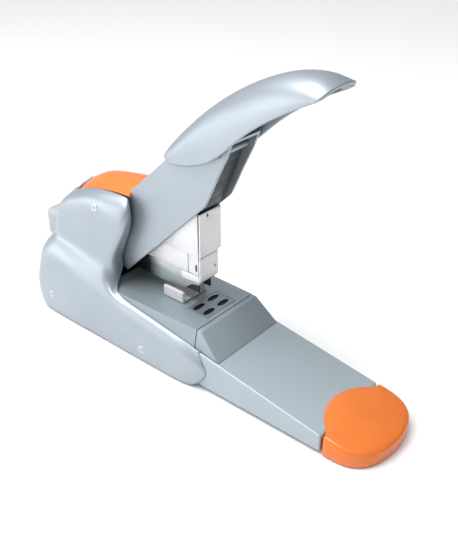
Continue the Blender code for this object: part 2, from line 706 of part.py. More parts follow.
def make_handle():
    body = bmesh.new()
    rows = []
    for crown, foot, extra, roundness in HANDLE_STATIONS:
        section = handle_section(crown, foot, HANDLE_HALF_WIDTH + extra, roundness)
        rows.append([body.verts.new(point) for point in section])
    for here, there in zip(rows, rows[1:]):
        for column in range(len(here) - 1):
            body.faces.new((here[column], there[column], there[column + 1], here[column + 1]))
    mesh = bpy.data.meshes.new("handle_shell")
    body.to_mesh(mesh)
    body.free()
    shell = bpy.data.objects.new("handle_shell", mesh)
    parts.objects.link(shell)
    shell.data.shade_smooth()
    wall = shell.modifiers.new("wall", "SOLIDIFY")
    wall.thickness = HANDLE_WALL
    wall.offset = -1.0
    wall.use_even_offset = True
    return paint(shell, SILVER)


def make_handle_insert():
    half = HANDLE_HALF_WIDTH - HANDLE_WALL - 0.0020
    outline = [(0.0500, 0.1775), (0.0620, 0.1850), (0.0760, 0.1945), (0.0880, 0.2005),
               (0.0872, 0.2024), (0.0745, 0.1968), (0.0605, 0.1873), (0.0490, 0.1798)]
    insert = side_plate("handle_insert", outline, -half, half)
    return paint(insert, DARK)


def make_link_pin():
    reach = ARM_HALF_WIDTH - GAP
    return paint(cylinder("link_pin", LINK_TOP, LINK_PIN_RADIUS, 2 * reach, "Y", 14), NICKEL)


# ---- Link ----
def make_drive_link():
    top = (LINK_TOP.x, LINK_TOP.z)
    foot = (LINK_FOOT.x, LINK_FOOT.z)
    slope = math.degrees(math.atan2(top[1] - foot[1], top[0] - foot[0]))
    outline = arc(top, 0.0040, slope - 80, slope + 80, 6)
    outline += arc((foot[0] + 0.0012, foot[1] + 0.0075), 0.0052, slope + 100, slope + 150, 3)
    outline += arc(foot, 0.0022, slope + 150, slope + 260, 5)
    outline += arc((foot[0] + 0.0040, foot[1] + 0.0060), 0.0045, slope + 240, slope + 290, 3)
    link = side_plate("drive_link", outline, -LINK_SPREAD, LINK_SPREAD)
    between = LINK_SPREAD - LINK_THICKNESS
    along = (LINK_TOP - LINK_FOOT).normalized()
    forward = Vector((along.z, 0, -along.x))
    ends = [LINK_FOOT - along * 0.02, LINK_TOP + along * 0.02]
    corners = [ends[0] + forward * LINK_WEB_PLACE, ends[1] + forward * LINK_WEB_PLACE,
               ends[1] - forward * 0.02, ends[0] - forward * 0.02]
    room = side_plate("link_room", [(c.x, c.z) for c in corners], -between, between)
    cut(link, room)
    bar = cylinder("link_bar", LINK_FOOT, LINK_BAR_RADIUS, 2 * LINK_SPREAD - 0.0004, "Y", 12)
    combine(link, bar, "UNION")
    hole = cylinder("link_top_hole", LINK_TOP, LINK_PIN_RADIUS + RUNNING_GAP, THROUGH, "Y", 14)
    return paint(cut(link, hole), DARK)


# ---- Magazine ----
def make_magazine_rail():
    rail = block("magazine_rail", (RAIL_REAR, -RAIL_HALF_WIDTH, RAIL_BOTTOM),
                 (RAIL_FRONT, RAIL_HALF_WIDTH, RAIL_TOP))
    round_edges(rail, FINE_EDGE, 1)
    inner = RAIL_HALF_WIDTH - RAIL_WALL
    room = block("rail_room", (RAIL_REAR - CUT_MARGIN, -inner, RAIL_BOTTOM + RAIL_WALL),
                 (RAIL_FRONT + CUT_MARGIN, inner, RAIL_TOP + CUT_MARGIN))
    mouth = block("rail_mouth", (RAIL_FRONT - 0.0030, -inner, RAIL_BOTTOM - CUT_MARGIN),
                  (RAIL_FRONT + CUT_MARGIN, inner, RAIL_TOP))
    pins = cylinder("rail_pin_hole", MAGAZINE_PIVOT, MAGAZINE_PIN_RADIUS + RUNNING_GAP, 0.04, "Y", 16)
    return paint(cut(rail, room, mouth, pins), STEEL)


HEAD_INNER = RAIL_HALF_WIDTH + GAP
HEAD_OUTER = HEAD_INNER + HEAD_WALL
CARRIER_INNER = HEAD_OUTER + RUNNING_GAP
CARRIER_OUTER = CARRIER_INNER + CARRIER_WALL
HEAD_FRONT = CARRIER_FRONT - CARRIER_WALL - RUNNING_GAP
HEAD_STOP = CARRIER_TOP - CARRIER_WALL - DRIVER_STROKE - 0.0012


def make_head_frame():
    low = RAIL_BOTTOM + 0.0007
    outline = [(-0.0100, low + 0.0015), (HEAD_FRONT, low), (HEAD_FRONT, HEAD_STOP),
               (CARRIER_REAR - 0.0012, HEAD_STOP), (CARRIER_REAR - 0.0030, 0.0970),
               (-0.0460, 0.0780), (-0.0460, RAIL_TOP + 0.0010), (-0.0100, RAIL_TOP + 0.0010)]
    frame = side_plate("head_frame", outline, -HEAD_OUTER, HEAD_OUTER)
    room = block("head_room", (-0.10, -HEAD_INNER, 0.02), (HEAD_FRONT - HEAD_WALL, HEAD_INNER, 0.13))
    slot = block("head_slot", (-0.0052, -0.02, 0.0610), (-0.0032, 0.0, 0.0700))
    dot = cylinder("head_hole", (HEAD_FRONT, 0, 0.0700), 0.0009, MARK_DEPTH, "X", 10)
    return paint(cut(frame, room, slot, dot), NICKEL)


def make_staple_strip():
    half = RAIL_HALF_WIDTH - RAIL_WALL - 0.0004
    bottom = RAIL_BOTTOM + RAIL_WALL + GAP
    top = bottom + 0.0110
    wire = 0.0010
    strip = block("staple_strip", (PUSHER_FRONT + GAP, -half, bottom), (STRIP_FRONT, half, top))
    room = block("strip_room", (PUSHER_FRONT - CUT_MARGIN, -half + wire, bottom - CUT_MARGIN),
                 (STRIP_FRONT + CUT_MARGIN, half - wire, top - wire))
    return paint(cut(strip, room), STEEL)


# ---- Driver ----
def make_driver_carrier():
    carrier = block("driver_carrier", (CARRIER_REAR, -CARRIER_OUTER, CARRIER_BOTTOM),
                    (CARRIER_FRONT, CARRIER_OUTER, CARRIER_TOP))
    round_edges(carrier, 0.0007, 2)
    room = block("carrier_room", (CARRIER_REAR - CUT_MARGIN, -CARRIER_INNER, CARRIER_BOTTOM - CUT_MARGIN),
                 (CARRIER_FRONT - CARRIER_WALL, CARRIER_INNER, CARRIER_TOP - CARRIER_WALL))
    dot = cylinder("carrier_hole", (CARRIER_FRONT, -0.002, CARRIER_TOP - 0.006), 0.0010, MARK_DEPTH, "X", 10)
    return paint(cut(carrier, room, dot), NICKEL)


BLOCK_BOTTOM = HEAD_STOP + 0.0085
BLADE_REAR = HEAD_FRONT - HEAD_WALL - GAP - 0.0011


def make_driver_block():
    half = HEAD_INNER - RUNNING_GAP
    body = block("driver_block", (-0.0150, -half, BLOCK_BOTTOM),
                 (HEAD_FRONT - HEAD_WALL - GAP, half, CARRIER_TOP - CARRIER_WALL - GAP))
    return paint(round_edges(body, FINE_EDGE, 1), STEEL)


def make_driver_blade():
    blade = block("driver_blade", (BLADE_REAR, -BLADE_HALF_WIDTH, RAIL_BOTTOM + DRIVER_STROKE),
                  (BLADE_REAR + 0.0010, BLADE_HALF_WIDTH, BLOCK_BOTTOM - GAP))
    return paint(blade, SPRING)


# ---- Loader and pusher ----
def make_loader_grip():
    grip = block("loader_grip", (GRIP_REAR, -GRIP_HALF_WIDTH, GRIP_BOTTOM),
                 (GRIP_FRONT, GRIP_HALF_WIDTH, GRIP_TOP))
    round_edges(grip, 0.0035, 3)
    hole = cylinder("grip_rod_hole", (GRIP_FRONT, 0, ROD_HEIGHT), ROD_RADIUS + GAP, 0.016, "X", 14)
    return paint(cut(grip, hole), PALE)


def make_guide_rod():
    rear, front = GRIP_FRONT - 0.0070, PUSHER_FRONT - 0.0030
    middle = ((rear + front) / 2, 0, ROD_HEIGHT)
    return paint(cylinder("guide_rod", middle, ROD_RADIUS, front - rear, "X", 14), NICKEL)


def make_pusher():
    half = RAIL_HALF_WIDTH - RAIL_WALL - 0.0006
    pusher = block("pusher", (PUSHER_REAR, -half, RAIL_BOTTOM + RAIL_WALL + GAP),
                   (PUSHER_FRONT, half, RAIL_TOP - 0.0015))
    round_edges(pusher, FINE_EDGE, 1)
    hole = cylinder("pusher_hole", (PUSHER_REAR, 0, ROD_HEIGHT), ROD_RADIUS + RUNNING_GAP, 0.080, "X", 14)
    return paint(cut(pusher, hole), PALE)


def make_pusher_spring():
    rear, front = GRIP_FRONT + 0.0015, PUSHER_REAR - 0.0015
    spring = coil("pusher_spring", ((rear + front) / 2, 0, ROD_HEIGHT), "X", ROD_RADIUS + 0.0016,
                  0.0004, front - rear, 12)
    return paint(spring, SPRING)


# ---- Building, and hanging the moving pieces on their axes ----
def axis_empty(name, place, pieces, parent=None):
    """An empty on a joint's axis, with the pieces that turn or slide about it."""
    empty = bpy.data.objects.new(name, None)
    empty.location = place
    parts.objects.link(empty)
    bpy.context.view_layer.update()
    if parent is not None:
        hang(empty, parent)
    for piece in pieces:
        hang(piece, empty)
    return empty


def hang(piece, parent):
    """Parents a piece without moving it."""
    bpy.context.view_layer.update()
    place = piece.matrix_world.copy()
    piece.parent = parent
    piece.matrix_parent_inverse = parent.matrix_world.inverted()
    piece.matrix_world = place
    bpy.context.view_layer.update()


make_base_shell()
make_base_plate()
make_feet()
make_base_screws()
make_nose_cap()
make_anvil_block()
make_anvil_front_cover()
make_anvil_plate()
make_magazine_guide()
make_housing("housing_left", -1)
make_housing("housing_right", 1)
make_housing_cap()
make_housing_screws()
make_hinge_bracket()
make_pivot()
make_magazine_pins()
make_return_spring()

arm_axis = axis_empty("arm_axis", ARM_PIVOT,
                      [make_arm(), make_handle(), make_handle_insert(), make_link_pin()])
axis_empty("link_axis", LINK_TOP, [make_drive_link()], arm_axis)
magazine_axis = axis_empty("magazine_axis", MAGAZINE_PIVOT,
                           [make_magazine_rail(), make_head_frame(), make_staple_strip()])
axis_empty("driver_axis", LINK_FOOT,
           [make_driver_carrier(), make_driver_block(), make_driver_blade()], magazine_axis)
loader_axis = axis_empty("loader_axis", (GRIP_FRONT, 0, ROD_HEIGHT),
                         [make_loader_grip(), make_guide_rod()], magazine_axis)
axis_empty("pusher_axis", (PUSHER_FRONT, 0, ROD_HEIGHT), [make_pusher(), make_pusher_spring()], loader_axis)
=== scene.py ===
# %% [markdown]
# # A heavy-duty desk stapler with its lever raised
# The stapler stands on a long sloping deck. A two-part housing holds the hinge of a lever arm,
# and the arm's curved handle presses a dark link down on a bright metal head.
# The engineering model gives every piece its place and size. This lesson gives them their looks.

import math

import bmesh
import bpy
from mathutils import Matrix, Vector


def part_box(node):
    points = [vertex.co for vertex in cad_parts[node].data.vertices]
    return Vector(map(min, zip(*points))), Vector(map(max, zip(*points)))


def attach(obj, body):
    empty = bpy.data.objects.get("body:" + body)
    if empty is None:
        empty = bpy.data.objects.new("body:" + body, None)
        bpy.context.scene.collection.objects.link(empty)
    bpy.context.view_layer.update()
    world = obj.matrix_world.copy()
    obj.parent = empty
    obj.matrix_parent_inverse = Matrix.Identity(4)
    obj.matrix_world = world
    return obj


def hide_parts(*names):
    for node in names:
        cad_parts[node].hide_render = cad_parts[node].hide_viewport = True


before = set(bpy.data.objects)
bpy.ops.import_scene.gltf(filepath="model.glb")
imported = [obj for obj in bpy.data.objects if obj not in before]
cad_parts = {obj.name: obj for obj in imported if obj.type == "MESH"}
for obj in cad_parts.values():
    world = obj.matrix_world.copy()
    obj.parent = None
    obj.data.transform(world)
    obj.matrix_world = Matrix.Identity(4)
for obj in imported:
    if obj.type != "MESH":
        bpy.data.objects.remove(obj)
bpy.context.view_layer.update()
MM = 0.001

# %% [markdown]
# ## The studio
# A product like this is shown on a white sweep under large soft lamps. Many small lamps could
# copy a real studio, but three area lamps and a surrounding that is brighter on one side are
# simpler and as soft. The metal reflects that surrounding, and this is what shows its curves.

# %% Camera, floor and lamps
scene = bpy.context.scene
scene.view_settings.view_transform = "Standard"

TO_CAMERA = Vector((0.5546, -0.6568, 0.5110))
camera = bpy.data.objects.new("camera", bpy.data.cameras.new("camera"))
camera.location = (0.2864, -0.3119, 0.3172)
camera.rotation_euler = (-TO_CAMERA).to_track_quat("-Z", "Y").to_euler()
camera.data.lens = 50.25
camera.data.sensor_width = 36
camera.data.clip_start = 0.01
scene.collection.objects.link(camera)
scene.camera = camera

HORIZON_LIGHT = 0.26
ZENITH_LIGHT = 1.10
BRIGHT_SIDE = (-0.40, -0.22, 0.89)
world = bpy.data.worlds.new("studio")
world.use_nodes = True
backdrop = world.node_tree.nodes["Background"]
backdrop.inputs["Color"].default_value = (0.97, 0.985, 1.0, 1)
direction = world.node_tree.nodes.new("ShaderNodeTexCoord")
facing = world.node_tree.nodes.new("ShaderNodeVectorMath")
facing.operation = "DOT_PRODUCT"
facing.inputs[1].default_value = BRIGHT_SIDE
brightness = world.node_tree.nodes.new("ShaderNodeMapRange")
brightness.inputs["From Min"].default_value = 0.0
brightness.inputs["From Max"].default_value = 0.95
brightness.inputs["To Min"].default_value = HORIZON_LIGHT
brightness.inputs["To Max"].default_value = ZENITH_LIGHT
world.node_tree.links.new(direction.outputs["Generated"], facing.inputs["Vector"])
world.node_tree.links.new(facing.outputs["Value"], brightness.inputs["Value"])
world.node_tree.links.new(brightness.outputs["Result"], backdrop.inputs["Strength"])
scene.world = world


OBJECT_MIDDLE = Vector((0.0, 0.0, 0.08))
FLOOR_SIZE = 30.0
FLOOR_DROP = 0.0002


def lamp(name, place, size, power):
    """A square soft lamp at a place, aimed at the middle of the stapler."""
    light = bpy.data.lights.new(name, "AREA")
    light.size = size
    light.energy = power
    holder = bpy.data.objects.new(name, light)
    holder.location = place
    holder.rotation_euler = (OBJECT_MIDDLE - Vector(place)).to_track_quat("-Z", "Y").to_euler()
    scene.collection.objects.link(holder)


lamp("overhead", (-0.20, -0.25, 0.95), 0.55, 7.5)
lamp("left_fill", (-0.75, -0.75, 0.30), 0.60, 3.2)
lamp("nose_fill", (0.95, 0.30, 0.50), 0.50, 0.35)

shape = bmesh.new()
bmesh.ops.create_grid(shape, x_segments=2, y_segments=2, size=FLOOR_SIZE)
floor_mesh = bpy.data.meshes.new("floor")
shape.to_mesh(floor_mesh)
shape.free()
floor = bpy.data.objects.new("floor", floor_mesh)
floor.location = (0, 0, -FLOOR_DROP)
scene.collection.objects.link(floor)
sweep = bpy.data.materials.new("white_sweep")
sweep.use_nodes = True
sweep_shader = sweep.node_tree.nodes["Principled BSDF"]
sweep_shader.inputs["Base Color"].default_value = (0.96, 0.96, 0.96, 1)
sweep_shader.inputs["Roughness"].default_value = 0.9
floor_mesh.materials.append(sweep)
print("camera at", [round(v, 3) for v in camera.location], "lens", camera.data.lens, "mm")


# %% [markdown]
# ## Finishes
# Injection-moulded and painted parts are never one flat colour: paint varies a little in
# tone, flake and gloss, and a mould leaves a fine skin on plastic. Each finish is a Principled
# shader whose colour, roughness and bump come from noise on Object coordinates, so the pattern
# keeps its real scale and stays put on the piece. The one function below mixes a broad
# tone change with a fine grain, which covers paint, plastic, plated steel and rubber.

# %% The finish maker
CONTRAST = 0.5
# the black used for painted shade in recesses
PAINTED_SHADE_BLACK = (0.015, 0.016, 0.018, 1)


def finish(name, dark, light, rough, metal=0.0, tone_scale=40.0, grain_scale=900.0,
           grain_depth=0.04, grain_stretch=(1, 1, 1), coat=0.0, specks=0.0, painted_shade=None):
    """A surface that varies between two tones, with a fine grain in its gloss and bump.

    A mask given as an axis and two places on it paints shade: the surface is painted black
    up to the first place and clear from the second one.
    """
    made = bpy.data.materials.new(name)
    made.use_nodes = True
    made.diffuse_color = (*light, 1)
    nodes, links = made.node_tree.nodes, made.node_tree.links
    shader = nodes["Principled BSDF"]
    shader.inputs["Metallic"].default_value = metal
    shader.inputs["Coat Weight"].default_value = coat
    shader.inputs["Coat Roughness"].default_value = 0.12

    place = nodes.new("ShaderNodeTexCoord")
    stretch = nodes.new("ShaderNodeMapping")
    stretch.inputs["Scale"].default_value = grain_stretch
    links.new(place.outputs["Object"], stretch.inputs["Vector"])

    tone = nodes.new("ShaderNodeTexNoise")
    tone.inputs["Scale"].default_value = tone_scale
    tone.inputs["Detail"].default_value = 4
    links.new(place.outputs["Object"], tone.inputs["Vector"])
    grain = nodes.new("ShaderNodeTexNoise")
    grain.inputs["Scale"].default_value = grain_scale
    grain.inputs["Detail"].default_value = 2
    links.new(stretch.outputs["Vector"], grain.inputs["Vector"])

    blend = nodes.new("ShaderNodeMath")
    blend.operation = "MULTIPLY_ADD"
    blend.inputs[1].default_value = specks
    links.new(grain.outputs["Fac"], blend.inputs[0])
    links.new(tone.outputs["Fac"], blend.inputs[2])
    ramp = nodes.new("ShaderNodeValToRGB")
    low_tone, high_tone = ramp.color_ramp.elements
    low_tone.position = 0.5 - CONTRAST / 2 + specks / 2
    high_tone.position = 0.5 + CONTRAST / 2 + specks / 2
    low_tone.color = (*dark, 1)
    high_tone.color = (*light, 1)
    links.new(blend.outputs["Value"], ramp.inputs["Fac"])
    colour = ramp.outputs["Color"]
    # painted shade: black up to one place along an axis, clear past the other
    if painted_shade:
        axis, full, clear = painted_shade
        parts = nodes.new("ShaderNodeSeparateXYZ")
        links.new(place.outputs["Object"], parts.inputs["Vector"])
        depth = nodes.new("ShaderNodeMapRange")
        depth.inputs["From Min"].default_value = full * MM
        depth.inputs["From Max"].default_value = clear * MM
        links.new(parts.outputs[axis], depth.inputs["Value"])
        black = nodes.new("ShaderNodeMix")
        black.data_type = "RGBA"
        black.inputs["A"].default_value = PAINTED_SHADE_BLACK
        links.new(depth.outputs["Result"], black.inputs["Factor"])
        links.new(colour, black.inputs["B"])
        colour = black.outputs["Result"]
    links.new(colour, shader.inputs["Base Color"])

    gloss = nodes.new("ShaderNodeMapRange")
    gloss.inputs["To Min"].default_value = rough * 0.88
    gloss.inputs["To Max"].default_value = rough * 1.15
    links.new(blend.outputs["Value"], gloss.inputs["Value"])
    links.new(gloss.outputs["Result"], shader.inputs["Roughness"])

    bump = nodes.new("ShaderNodeBump")
    bump.inputs["Strength"].default_value = 0.5
    bump.inputs["Distance"].default_value = grain_depth * MM
    links.new(grain.outputs["Fac"], bump.inputs["Height"])
    links.new(bump.outputs["Normal"], shader.inputs["Normal"])
    return made


# %% The finishes of this stapler
silver = finish("silver_paint", (0.335, 0.375, 0.415), (0.39, 0.432, 0.475), 0.40, metal=0.72,
                tone_scale=18, grain_scale=2600, grain_depth=0.010, specks=0.35)
deck_silver = finish("deck_silver_paint", (0.355, 0.412, 0.452), (0.395, 0.452, 0.492), 0.46,
                     metal=0.35, tone_scale=14, grain_scale=2600, grain_depth=0.012, specks=0.35)
# the deck's silver painted darker, as the shade on the block's front face
block_silver_painted_shade = finish("anvil_block_painted_shade", (0.275, 0.325, 0.360), (0.31, 0.362, 0.398), 0.42,
                      metal=0.35, tone_scale=14, grain_scale=2600, grain_depth=0.012, specks=0.35)
orange = finish("orange_plastic", (0.74, 0.160, 0.012), (0.80, 0.190, 0.018), 0.26,
                tone_scale=30, grain_scale=1500, grain_depth=0.018, coat=0.15)
chrome = finish("bright_nickel", (0.68, 0.675, 0.69), (0.76, 0.755, 0.77), 0.46, metal=0.55,
                tone_scale=60, grain_scale=900, grain_depth=0.006, grain_stretch=(1, 1, 0.06))
zinc = dict(dark=(0.40, 0.44, 0.43), light=(0.50, 0.54, 0.53), rough=0.40, metal=0.8,
            tone_scale=50, grain_scale=1200, grain_depth=0.01, grain_stretch=(0.04, 1, 1))
rail_steel = finish("zinc_rail", **zinc)
# the rail's rear is painted black as the shade under the arm's tip
rail_with_painted_shade = finish("rail_with_painted_shade", **zinc, painted_shade=("X", -42, -30))
# below the plate's top the pocket floors are painted black as shade
anvil_steel = finish("anvil_steel", (0.24, 0.28, 0.31), (0.30, 0.34, 0.37), 0.40, metal=0.6,
                     tone_scale=90, grain_scale=1500, grain_depth=0.01, grain_stretch=(1, 0.08, 1),
                     painted_shade=("Z", 40.8, 41.2))
# the link's own dark paint; on the driver block the same near-black is painted shade
dark_paint_and_shade_steel = finish("dark_link_paint_and_painted_shade", (0.030, 0.034, 0.038), (0.050, 0.056, 0.062), 0.45, metal=0.4,
                    tone_scale=120, grain_scale=1800, grain_depth=0.015)
pale = finish("pale_plastic", (0.52, 0.505, 0.53), (0.60, 0.585, 0.61), 0.45,
              tone_scale=50, grain_scale=1500, grain_depth=0.02)
grip_grey = finish("grip_plastic", (0.36, 0.375, 0.38), (0.42, 0.435, 0.44), 0.45,
                   tone_scale=50, grain_scale=1500, grain_depth=0.02)
screw_steel = finish("screw_steel", (0.46, 0.49, 0.53), (0.54, 0.57, 0.61), 0.38, metal=0.8,
                     tone_scale=150, grain_scale=1800, grain_depth=0.01)
# near-black that stands in for shade in the recess under the arm
shadow_steel = finish("painted_shade_steel", (0.020, 0.021, 0.023), (0.035, 0.036, 0.04), 0.5,
                      metal=0.4, tone_scale=80, grain_scale=1500, grain_depth=0.02)
rubber = finish("black_rubber", (0.018, 0.018, 0.018), (0.035, 0.035, 0.035), 0.85,
                tone_scale=200, grain_scale=2500, grain_depth=0.05)
spring_steel = finish("spring_steel", (0.36, 0.36, 0.37), (0.50, 0.50, 0.51), 0.28, metal=1.0,
                      tone_scale=150, grain_scale=2500, grain_depth=0.008)
print("finishes:", len(bpy.data.materials))


# %% [markdown]
# ## Small tools
# Every new piece is a bmesh that ends as a named object riding on one body of the mechanism.
# Lofted shells are made like ship hulls: a few rails are drawn as chains of vertices, and
# bridge_loops plates the space between each pair of rails.

# %% Turning a bmesh into a finished piece
def finished(name, shape, look, body, node, smooth_angle):
    """Makes an object from a bmesh, paints it and hangs it on its body in a node's place.

    Edges sharper than the smooth angle stay crisp, and 0 leaves the whole skin smooth.
    """
    bmesh.ops.recalc_face_normals(shape, faces=shape.faces)
    mesh = bpy.data.meshes.new(name)
    shape.to_mesh(mesh)
    shape.free()
    piece = bpy.data.objects.new(name, mesh)
    scene.collection.objects.link(piece)
    mesh.materials.append(look)
    mesh.shade_smooth()
    if smooth_angle:
        mesh.set_sharp_from_angle(angle=math.radians(smooth_angle))
    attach(piece, body)
    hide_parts(node)
    print(f"{name}: {len(mesh.polygons)} faces before its modifiers")
    return piece


def chain(shape, points, closed=False):
    """A rail: points joined by edges, in order. Returns the vertices and the edges."""
    verts = [shape.verts.new(point) for point in points]
    pairs = list(zip(verts, verts[1:]))
    if closed:
        pairs.append((verts[-1], verts[0]))
    return verts, [shape.edges.new(pair) for pair in pairs]


def smooth_line(points, per_span):
    """A smooth line through the points, with so many steps from each point to the next."""
    line = []
    last = len(points) - 1
    for i in range(last):
        before, here, there, after = (Vector(points[max(0, min(last, j))])
                                      for j in (i - 1, i, i + 1, i + 2))
        for step in range(per_span):
            t = step / per_span
            line.append(0.5 * (2 * here + (there - before) * t
                               + (2 * before - 5 * here + 4 * there - after) * t * t
                               + (3 * here - before - 3 * there + after) * t ** 3))
    line.append(Vector(points[-1]))
    return line


def height_at(table, x):
    """Reads a value from (x, value) pairs with x rising, on straight lines between them."""
    if x <= table[0][0]:
        return table[0][1]
    for (x0, v0), (x1, v1) in zip(table, table[1:]):
        if x <= x1:
            return v0 + (v1 - v0) * (x - x0) / (x1 - x0)
    return table[-1][1]


def soften(piece, levels, wall):
    """Subdivides a cage into a smooth skin, and gives the skin a wall that grows inwards."""
    skin = piece.modifiers.new("skin", "SUBSURF")
    skin.levels = levels
    skin.render_levels = levels
    skin.boundary_smooth = "PRESERVE_CORNERS"
    thick = piece.modifiers.new("wall", "SOLIDIFY")
    thick.thickness = wall * MM
    thick.offset = -1
    thick.use_even_offset = True


# %% [markdown]
# ## The deck's slope
# Most places on the base are measured from the sloping top of the deck. Each of them could be
# given its own height, but one straight line, the same as in the engineering model, keeps them
# together.

# %% The deck's top as a line
DECK_FALL = 0.153
DECK_AT_ZERO = 31.7
DECK_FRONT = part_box("base_shell")[1].x / MM


def deck_top(x):
    """Height of the deck's top at x, both in millimetres."""
    return DECK_AT_ZERO - DECK_FALL * x


print("deck top at its front end:", round(deck_top(DECK_FRONT), 1), "mm")

# %% [markdown]
# ## The housing
# On the real stapler this is a pair of moulded silver covers. A low fairing with a bright
# ridge runs along the deck, and above a soft crease the cover rises as a flat cheek beside the
# arm. It could be cut from blocks, but its surfaces flow into each other, so it is lofted as
# one skin: fourteen rails run from the middle of the back, round the corner and forward.
# Each rail has a rear place, a half-width, a corner radius and its heights along the way.

# %% The rails of one housing half
# (rear x, half-width, corner radius, tip x, [(x, height), ...]) in millimetres; the last of the
# lower rails is the ledge, and the upper rails have no tip
LOWER_RAILS = [
    (-143.0, 36.6, 20, 22.0, [(-141, 1.4)]),
    (-145.5, 37.8, 20, 27.5, [(-143, 8.0), (20, 7.0)]),
    (-146.0, 37.8, 20, 30.6, [(-142, 22), (-115, 24.5), (-94, 23.5), (-58, 18.5), (-15, 14.5),
                              (5, 13.5), (30, 12.5)]),
    (-142.6, 36.3, 20, 30.9, [(-142, 34), (-115, 39.5), (-94, 35), (-78, 31), (-58, 26.8),
                              (-38, 23.2), (-15, 20.2), (5, 18.2), (30, 15.5)]),
    (-138.6, 37.0, 19, 29.6, [(-138, 42.6), (-129, 46.2), (-115, 48.8), (-103, 48), (-91, 44),
                              (-74, 39), (-58, 34.4), (-43, 31.2), (-24, 28), (-6, 25.6),
                              (12, 23.2), (30, 19)]),
    (-134.4, 34.6, 18, 27.0, [(-133, 52.5), (-115, 56), (-103, 54.6), (-91, 51.2), (-74, 46.6),
                              (-58, 41.6), (-43, 37.8), (-24, 34.2), (-6, 31.2), (12, 28.2),
                              (27, 23)]),
    (-130.0, 31.0, 16, 24.5, [(-126, 58), (-113, 60), (-100, 58), (-85, 54.5), (-72, 52),
                              (-62, 49.5)]),
]
UPPER_RAILS = [
    (-126.2, 27.9, 14, None, [(-126, 61.5), (-113, 62.5), (-100, 60.5), (-85, 58.8), (-72, 57.5),
                              (-60, 56.5)]),
    (-124.6, 27.4, 13, None, [(-124, 67), (-111, 67.5), (-97, 67), (-85, 66.5), (-72, 66),
                              (-60, 65.5)]),
    (-122.6, 27.5, 13, None, [(-122, 72.5), (-110, 74.5), (-97, 76.5), (-85, 78), (-72, 78.5),
                              (-60, 78.5)]),
    (-120.2, 27.5, 13, None, [(-120, 79), (-109, 82), (-97, 86), (-85, 89.5), (-72, 91),
                              (-60, 92)]),
    (-117.0, 26.8, 12, None, [(-117, 85.5), (-107, 91.5), (-96, 96.8), (-84, 100.6), (-72, 102.0),
                              (-60, 102.4)]),
    (-110.6, 22.0, 9, None, [(-110, 92.0), (-103, 96.8), (-96, 100.6), (-84, 104.8), (-72, 106.6),
                             (-60, 107.2)]),
    (-103.0, 16.8, 4, None, [(-103, 98.2), (-95, 102.0), (-84, 106.2), (-72, 108.1),
                             (-60, 108.8)]),
]
RAILS = LOWER_RAILS + UPPER_RAILS
LEDGE_ROW = len(LOWER_RAILS) - 1
# the last four places of each rail from the ledge up, where the cheek turns in to the arm
FRONT_EDGE = [
    [(-64, -31.3, 49.2), (-61.5, -31.3, 46.6), (-58, -31.2, 43.4), (-55, -31.0, 40.9)],
    [(-64, -27.6, 56.0), (-60.5, -26.6, 55.0), (-58.5, -21.0, 52.6), (-60.0, -14.3, 50.3)],
    [(-63, -27.4, 63.0), (-59.0, -26.6, 62.0), (-58.5, -21.0, 59.8), (-62.3, -14.3, 57.5)],
    [(-58, -27.5, 73.0), (-54.0, -26.6, 72.4), (-54.0, -21.0, 70.0), (-59.3, -14.3, 66.5)],
    [(-51, -27.5, 86.0), (-46.0, -26.4, 85.4), (-46.6, -21.0, 83.0), (-52.5, -14.3, 79.7)],
    [(-48, -26.8, 96.6), (-42.6, -25.6, 96.0), (-42.6, -20.6, 94.4), (-48.6, -14.3, 91.4)],
    [(-49, -22.2, 106.0), (-44.6, -21.4, 104.8), (-43.8, -18.6, 103.0), (-49.1, -14.5, 100.6)],
    [(-52, -17.0, 109.0), (-48.6, -16.8, 108.2), (-48.2, -16.0, 107.2), (-52.4, -15.0, 105.6)],
]
# how far the top three rails rise towards the seam between the halves
REAR_CROWN = {11: 2.0, 12: 3.6, 13: 4.6}
SEAM = 0.2
NOTCH_HALF_WIDTH = 10.8
CORNER_STEPS = 4
SIDE_PLACES = [-100, -87, -75, -66]
FORWARD_PLACES = [-59, -54, -49, -43, -32, -18, -4]
TIP_SHARES = [0.3, 0.6, 0.82, 0.94, 1.0]
TIP_WIDTH = 32.4
LEDGE_PLACES = 4
LEDGE_WIDTH = 31.0
LEDGE_FLARE = 1.5
LEDGE_LIFT = 0.9


def lower_width(width, x, tip):
    """Half-width of a lower rail, which draws in to the deck's side at its tip."""
    share = max(0.0, x / tip)
    return TIP_WIDTH + (width - TIP_WIDTH) * math.sqrt(max(0.0, 1 - share ** 2.6))


def rail_points(row):
    """The places of one rail of the left half, in millimetres."""
    rear, width, radius, tip, heights = RAILS[row]
    flat = width - radius
    points = [(rear, -y) for y in (SEAM, NOTCH_HALF_WIDTH, (NOTCH_HALF_WIDTH + width - radius) / 2)]
    for step in range(CORNER_STEPS + 1):
        angle = math.radians(90 * step / CORNER_STEPS)
        points.append((rear + radius * (1 - math.cos(angle)), -flat - radius * math.sin(angle)))
    points += [(x, -width) for x in SIDE_PLACES]
    if row < LEDGE_ROW:
        points += [(x, -width) for x in FORWARD_PLACES]
        points += [(share * tip, -lower_width(width, share * tip, tip)) for share in TIP_SHARES]
    crown = REAR_CROWN.get(row, 0)
    line = [(x, y, height_at(heights, x) + crown * max(0, 1 - (y / width) ** 2)) for x, y in points]
    if row >= LEDGE_ROW:
        line += FRONT_EDGE[row - LEDGE_ROW]
    if row == LEDGE_ROW:
        ledge = FORWARD_PLACES[LEDGE_PLACES:] + [share * tip for share in TIP_SHARES]
        line += [(x, -LEDGE_WIDTH - LEDGE_FLARE * max(0, x / tip) ** 4, deck_top(x) + LEDGE_LIFT)
                 for x in ledge]
    return [Vector(point) * MM for point in line]


print("places on each rail:", [len(rail_points(row)) for row in range(len(RAILS))])


